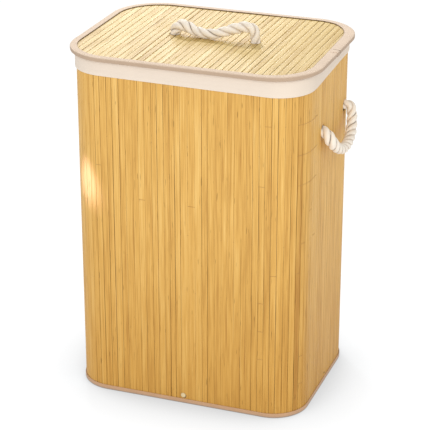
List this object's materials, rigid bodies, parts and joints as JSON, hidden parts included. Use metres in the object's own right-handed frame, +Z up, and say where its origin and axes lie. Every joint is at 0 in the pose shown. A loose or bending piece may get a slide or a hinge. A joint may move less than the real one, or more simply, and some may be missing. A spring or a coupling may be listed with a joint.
{
  "type": "laundry hamper",
  "caption": "Tall rounded-rectangular bamboo slat hamper with a fold-over cotton liner, rope side handles and a hinged slat lid with a rope handle.",
  "frame": {"origin": "on the floor, at the centre of the hamper's footprint", "axes": "+Z up, -Y the front, +X the hamper's right side seen from the front; the lid is hinged at the back, +Y"},
  "size_m": [0.4604, 0.328, 0.6317],
  "materials": {
    "body_bamboo": "satin golden bamboo with fine upright grain",
    "lid_bamboo": "satin pale bamboo with fine grain",
    "backing_cloth": "thin glued backing cloth",
    "thread": "thin cotton thread",
    "tan_tape": "woven cotton binding tape",
    "lid_tape": "woven cotton binding tape",
    "hoop_wood": "bent wood strip",
    "cream_rivet": "matt cream",
    "base_fabric": "plain woven cloth",
    "fibreboard": "pressed fibreboard",
    "rod_wood": "turned bamboo rod",
    "socket_plastic": "matt moulded plastic",
    "cream_cotton": "smooth plain-woven cotton",
    "hook_tape": "hook and loop tape",
    "cotton_rope": "three-strand twisted cotton rope",
    "washer_plastic": "matt moulded plastic",
    "strap_webbing": "woven cotton webbing",
    "lining_fabric": "plain woven cloth"
  },
  "bodies": {
    "basket": {"front_slats": "body_bamboo", "right_slats": "body_bamboo", "back_slats": "body_bamboo", "left_slats": "body_bamboo", "front_right_corner_slats": "body_bamboo", "back_right_corner_slats": "body_bamboo", "back_left_corner_slats": "body_bamboo", "front_left_corner_slats": "body_bamboo", "mat_backing": "backing_cloth", "mat_threads": "thread", "bottom_binding": "tan_tape", "top_binding": "tan_tape", "bottom_hoop": "hoop_wood", "top_hoop": "hoop_wood", "hoop_rivets": "cream_rivet", "base_cloth": "base_fabric", "base_board": "fibreboard", "support_rods": "rod_wood", "bottom_rod_sockets": "socket_plastic", "top_rod_sockets": "socket_plastic", "liner_bag": "cream_cotton", "cuff_hook_pads": "hook_tape", "cuff_loop_pads": "hook_tape", "right_handle_knots": "cotton_rope", "left_handle_knots": "cotton_rope", "right_handle_washers": "washer_plastic", "left_handle_washers": "washer_plastic", "hinge_lower_leaves": "strap_webbing"},
    "lid": {"hinge_upper_leaves": "strap_webbing", "lid_slats": "lid_bamboo", "lid_board": "fibreboard", "lid_lining": "lining_fabric", "lid_binding": "lid_tape", "lid_handle_washers": "washer_plastic", "lid_handle_knots": "cotton_rope"},
    "lid_handle": {"lid_handle_rope": "cotton_rope"},
    "right_handle": {"right_handle_rope": "cotton_rope"},
    "left_handle": {"left_handle_rope": "cotton_rope"}
  },
  "joints": [
    {"name": "lid_hinge", "type": "hinge", "parent": "basket", "child": "lid", "pos_m": [0, 0.1534, 0.5921], "axis": [-1, 0, 0], "range_deg": [0, 95]},
    {"name": "lid_handle_swing", "type": "hinge", "parent": "lid", "child": "lid_handle", "pos_m": [0, 0.005, 0.608], "axis": [-1, 0, 0], "range_deg": [0, 90]},
    {"name": "right_handle_swing", "type": "hinge", "parent": "basket", "child": "right_handle", "pos_m": [0.209, 0.024, 0.478], "axis": [0, -1, 0], "range_deg": [0, 140]},
    {"name": "left_handle_swing", "type": "hinge", "parent": "basket", "child": "left_handle", "pos_m": [-0.209, 0.024, 0.478], "axis": [0, 1, 0], "range_deg": [0, 140]}
  ]
}
